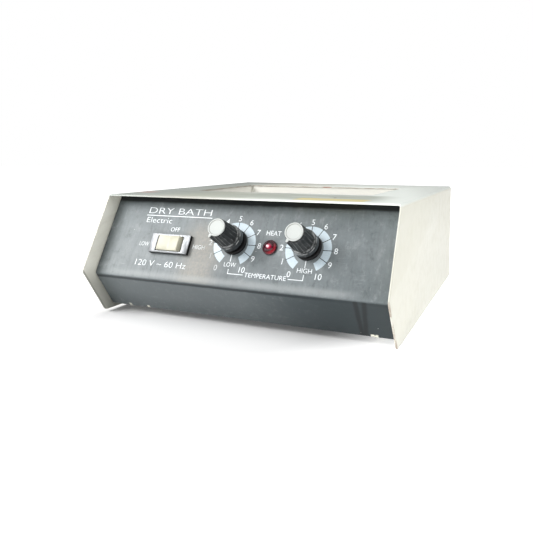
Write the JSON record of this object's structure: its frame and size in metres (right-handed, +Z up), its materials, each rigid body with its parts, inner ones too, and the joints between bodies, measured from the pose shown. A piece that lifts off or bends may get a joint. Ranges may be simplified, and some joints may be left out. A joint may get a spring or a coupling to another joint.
{
  "type": "dry block heater",
  "caption": "Bench dry block heater with an empty heating well in its top, a leaning control panel, turning temperature knobs, a rocker switch and a heat lamp.",
  "frame": {"origin": "on the surface it stands on, under the middle of its outline", "axes": "+Z up, the control panel faces -Y, +X to the right as seen by the user"},
  "size_m": [0.24, 0.2665, 0.0953],
  "materials": {
    "cream_paint": "semi-gloss stoved paint, yellowed and scuffed, raw rusty cut edges",
    "charcoal_paint": "satin blue-grey paint, scuffed",
    "aluminium": "milled and stained",
    "mica": "laminated mica",
    "bare_steel": "plated sheet and bar",
    "bright_steel": "bright brushed face plate",
    "zinc": "zinc plated",
    "fibre": "pressed mineral fibre",
    "black_plastic": "moulded phenolic",
    "knob_plastic": "moulded, worn satin",
    "cap_plastic": "moulded, slightly yellowed; also the printed scale",
    "ivory_plastic": "moulded, aged",
    "red_lens": "clear red jewel",
    "rubber": "moulded",
    "brass": "turned",
    "copper": "drawn tube",
    "wire_sleeve": "braided heat-proof sleeve"
  },
  "bodies": {
    "chassis": {"cover": "cream_paint", "base_pan": "charcoal_paint", "rear_panel": "charcoal_paint", "well_liner": "cream_paint", "heater_plate": "aluminium", "heating_element": "mica", "element_clamp": "bare_steel", "insulation_slab": "fibre", "insulation_wrap": "fibre", "thermal_cutoff": "black_plastic", "power_inlet": "black_plastic", "terminal_block": "black_plastic", "switch_body": "black_plastic", "switch_bezel": "bright_steel", "rocker_pin": "bare_steel", "lamp_lens": "red_lens", "lamp_body": "black_plastic", "lamp_clip": "zinc", "thermostat_low": "bare_steel", "bushing_nut_low": "zinc", "nut_cover_low": "knob_plastic", "sensor_bulb_low": "copper", "thermostat_high": "bare_steel", "bushing_nut_high": "zinc", "nut_cover_high": "knob_plastic", "sensor_bulb_high": "copper", "cover_screw_1": "zinc", "foot_screw_1": "zinc", "standoff_screw_1": "zinc", "plate_standoff_1": "bare_steel", "foot_1": "rubber", "cover_screw_2": "zinc", "foot_screw_2": "zinc", "standoff_screw_2": "zinc", "plate_standoff_2": "bare_steel", "foot_2": "rubber", "cover_screw_3": "zinc", "foot_screw_3": "zinc", "standoff_screw_3": "zinc", "plate_standoff_3": "bare_steel", "foot_3": "rubber", "cover_screw_4": "zinc", "foot_screw_4": "zinc", "standoff_screw_4": "zinc", "plate_standoff_4": "bare_steel", "foot_4": "rubber", "wire_supply": "wire_sleeve", "wire_neutral": "wire_sleeve", "wire_to_low_thermostat": "wire_sleeve", "wire_to_high_thermostat": "wire_sleeve", "wire_to_element": "wire_sleeve", "wire_to_lamp": "wire_sleeve"},
    "knob_low": {"control_shaft_low": "brass", "knob_low": "knob_plastic", "knob_cap_low": "cap_plastic"},
    "knob_high": {"control_shaft_high": "brass", "knob_high": "knob_plastic", "knob_cap_high": "cap_plastic"},
    "rocker": {"switch_rocker": "ivory_plastic"}
  },
  "joints": [
    {"name": "knob_low_turn", "type": "hinge", "parent": "chassis", "child": "knob_low", "pos_m": [-0.0012, -0.12167, 0.07316], "axis": [0, 0.8743, -0.4854], "range_deg": [0, 300]},
    {"name": "knob_high_turn", "type": "hinge", "parent": "chassis", "child": "knob_high", "pos_m": [0.0566, -0.12167, 0.07316], "axis": [0, 0.8743, -0.4854], "range_deg": [0, 300]},
    {"name": "rocker_tilt", "type": "hinge", "parent": "chassis", "child": "rocker", "pos_m": [-0.055, -0.10603, 0.05807], "axis": [0, 0.4854, 0.8743], "range_deg": [-9, 9]}
  ]
}
